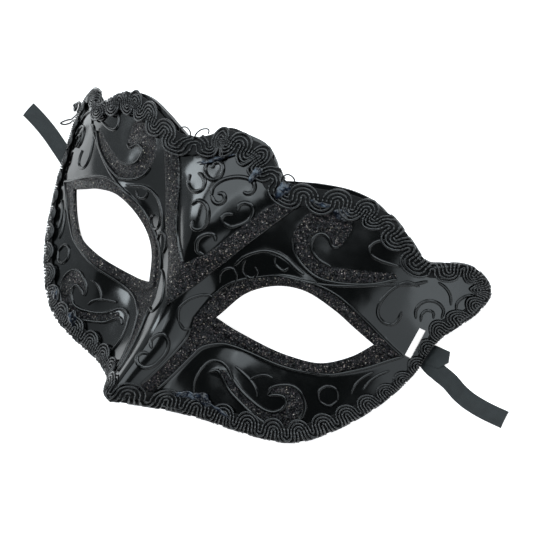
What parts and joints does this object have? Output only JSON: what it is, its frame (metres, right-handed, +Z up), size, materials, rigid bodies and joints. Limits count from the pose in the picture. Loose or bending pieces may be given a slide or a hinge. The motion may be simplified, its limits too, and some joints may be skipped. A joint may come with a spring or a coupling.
{
  "type": "masquerade mask",
  "caption": "Half mask for costume wear, moulded with raised scrolls, with a braided edge and a tie ribbon at each temple.",
  "frame": {"origin": "middle of the mask's bounding box, on the surface that it lies on", "axes": "+X to the wearer's left, +Y towards the crown edge, +Z up out of the front of the mask, which lies face up on its wing tips and lower rim"},
  "size_m": [0.2307, 0.102, 0.0409],
  "materials": {
    "shell_plastic": "glossy black moulded plastic with black glitter on the bands, rims and larger scrolls",
    "gimp_braid": "black rayon scroll gimp with a soft sheen",
    "ribbon_satin": "dark grey to black single-face satin, nearly matte"
  },
  "bodies": {
    "root": {"mask_shell": "shell_plastic", "edge_braid": "gimp_braid", "ribbon_left": "ribbon_satin", "ribbon_right": "ribbon_satin"}
  },
  "joints": []
}
